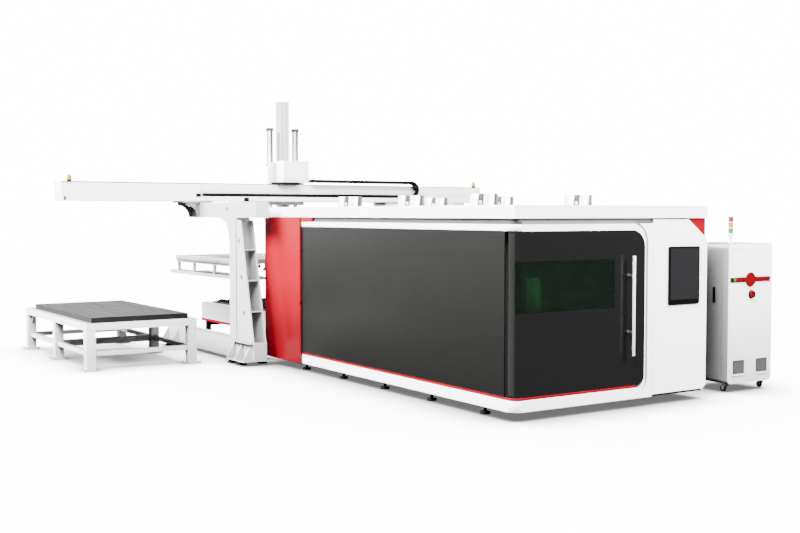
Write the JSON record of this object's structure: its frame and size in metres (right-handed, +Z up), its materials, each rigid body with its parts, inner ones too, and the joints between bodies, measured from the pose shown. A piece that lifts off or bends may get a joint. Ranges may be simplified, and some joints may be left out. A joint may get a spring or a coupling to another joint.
{
  "type": "laser cutting machine",
  "caption": "Enclosed sheet-metal laser cutter with hinged front door, shuttle pallets, overhead fork and suction loader, sheet table and control cabinet.",
  "frame": {"origin": "on the floor under the middle of the whole cell's bounding box", "axes": "+X along the cabin from the exchange table to the operator's door, +Y from the loading table to the control cabinet, +Z up"},
  "size_m": [9.957, 8.2174, 4.265],
  "materials": {
    "white_paint": "satin white powder coat",
    "grey_band": "light grey paint",
    "red_paint": "gloss red paint",
    "dark_gloss": "polished dark grey panel",
    "laser_glass": "dark green laser-safe glass",
    "handle_steel": "satin steel",
    "screen_black": "black display glass",
    "bed_grey": "dark grey paint",
    "rail_steel": "ground steel",
    "head_paint": "white paint",
    "head_metal": "anodised aluminium",
    "alloy": "natural aluminium profile",
    "slat_black": "black paint",
    "drive_teal": "dark teal paint",
    "knee_dark": "dark grey paint",
    "chain_black": "black nylon",
    "foot_black": "black rubber",
    "cup_black": "black rubber",
    "wheel_black": "black rubber",
    "fork_white": "white paint",
    "table_white": "white powder coat",
    "sheet_steel": "dark hot-rolled sheet",
    "latch_black": "black plastic",
    "knob_red": "red plastic",
    "vent_grey": "grey plastic",
    "tower_white": "white plastic",
    "lens": "clear coloured lenses",
    "amber": "amber plastic",
    "caster_zinc": "zinc plate"
  },
  "bodies": {
    "cell": {"cabin_skirt": "white_paint", "side_cornice": "white_paint", "front_rim": "white_paint", "front_panel": "white_paint", "far_panel": "white_paint", "roof": "white_paint", "duct_collars": "white_paint", "near_support": "white_paint", "far_support": "white_paint", "loader_beam": "white_paint", "exchange_frame": "white_paint", "cabinet_body": "white_paint", "upper_band": "grey_band", "skirt_trim": "red_paint", "corner_accent": "red_paint", "rear_portal": "red_paint", "indicator_bar": "red_paint", "side_panel": "dark_gloss", "side_window": "laser_glass", "operator_screen": "screen_black", "machine_bed": "bed_grey", "cabin_posts": "bed_grey", "door_pivots": "bed_grey", "guide_rails": "rail_steel", "beam_rails": "rail_steel", "exchange_legs": "slat_black", "pallet_drive": "drive_teal", "beam_saddles": "knee_dark", "chain_lower_run": "chain_black", "levelling_feet": "foot_black", "caster_wheels": "wheel_black", "loading_table": "table_white", "sheet_stack": "sheet_steel", "cabinet_vents": "vent_grey", "tower_stem": "tower_white", "tower_lenses": "lens", "beam_lamps": "amber", "caster_forks": "caster_zinc"},
    "front_door": {"front_door": "dark_gloss", "door_window": "laser_glass", "door_handle": "handle_steel"},
    "rear_shutter": {"rear_shutter": "bed_grey"},
    "gantry": {"gantry_beam": "alloy"},
    "head_carriage": {"head_carriage": "head_paint"},
    "cutting_head": {"cutting_head": "head_metal"},
    "upper_pallet": {"upper_pallet": "slat_black"},
    "lower_pallet": {"lower_pallet": "slat_black"},
    "loader_carriage": {"loader_carriage": "white_paint", "balance_cylinders": "white_paint", "chain_upper_run": "chain_black"},
    "lift": {"lift_mast": "alloy", "balance_rods": "rail_steel", "suction_frame": "alloy", "suction_cups": "cup_black"},
    "fork_near": {"fork_near": "fork_white"},
    "fork_far": {"fork_far": "fork_white"},
    "chain_bend": {"chain_bend": "chain_black"},
    "cabinet_door": {"cabinet_door": "white_paint", "cabinet_latch": "latch_black"},
    "isolator_knob": {"isolator_knob": "knob_red"}
  },
  "joints": [
    {"name": "front_door_hinge", "type": "hinge", "parent": "cell", "child": "front_door", "pos_m": [4.7565, -1.26125, 1.184], "axis": [0, 0, -1], "range_deg": [0, 100]},
    {"name": "rear_shutter_lift", "type": "slide", "parent": "cell", "child": "rear_shutter", "axis": [0, 0, 1], "range_m": [-0.68, 0]},
    {"name": "gantry_travel", "type": "slide", "parent": "cell", "child": "gantry", "axis": [1, 0, 0], "range_m": [-3.5, 0.1]},
    {"name": "head_travel", "type": "slide", "parent": "gantry", "child": "head_carriage", "axis": [0, 1, 0], "range_m": [-0.23, 1.27]},
    {"name": "head_height", "type": "slide", "parent": "head_carriage", "child": "cutting_head", "axis": [0, 0, 1], "range_m": [-0.22, 0.05]},
    {"name": "upper_pallet_travel", "type": "slide", "parent": "cell", "child": "upper_pallet", "axis": [1, 0, 0], "range_m": [0, 4.78]},
    {"name": "lower_pallet_travel", "type": "slide", "parent": "cell", "child": "lower_pallet", "axis": [1, 0, 0], "range_m": [-4.78, 0]},
    {"name": "carriage_travel", "type": "slide", "parent": "cell", "child": "loader_carriage", "axis": [0, 1, 0], "range_m": [-3.264, 3.34], "deforming": ["chain_upper_run", "chain_lower_run"]},
    {"name": "lift_height", "type": "slide", "parent": "loader_carriage", "child": "lift", "axis": [0, 0, 1], "range_m": [-0.527, 0]},
    {"name": "fork_near_travel", "type": "slide", "parent": "lift", "child": "fork_near", "axis": [0, 1, 0], "range_m": [0, 0.72]},
    {"name": "fork_far_travel", "type": "slide", "parent": "lift", "child": "fork_far", "axis": [0, 1, 0], "range_m": [-0.72, 0]},
    {"name": "chain_bend_travel", "type": "slide", "parent": "loader_carriage", "child": "chain_bend", "axis": [0, 1, 0], "range_m": [-1.67, 1.667], "deforming": ["chain_bend"]},
    {"name": "cabinet_door_hinge", "type": "hinge", "parent": "cell", "child": "cabinet_door", "pos_m": [4.1695, 2.21875, 1.01], "axis": [0, 0, -1], "range_deg": [0, 85]},
    {"name": "isolator_turn", "type": "hinge", "parent": "cell", "child": "isolator_knob", "pos_m": [4.7665, 2.64375, 1.254], "axis": [1, 0, 0], "range_deg": [0, 90]}
  ],
  "couplings": [
    {"joint": "lower_pallet_travel", "follows": "upper_pallet_travel", "ratio": -1},
    {"joint": "fork_far_travel", "follows": "fork_near_travel", "ratio": -1},
    {"joint": "chain_bend_travel", "follows": "carriage_travel", "ratio": -0.5}
  ]
}
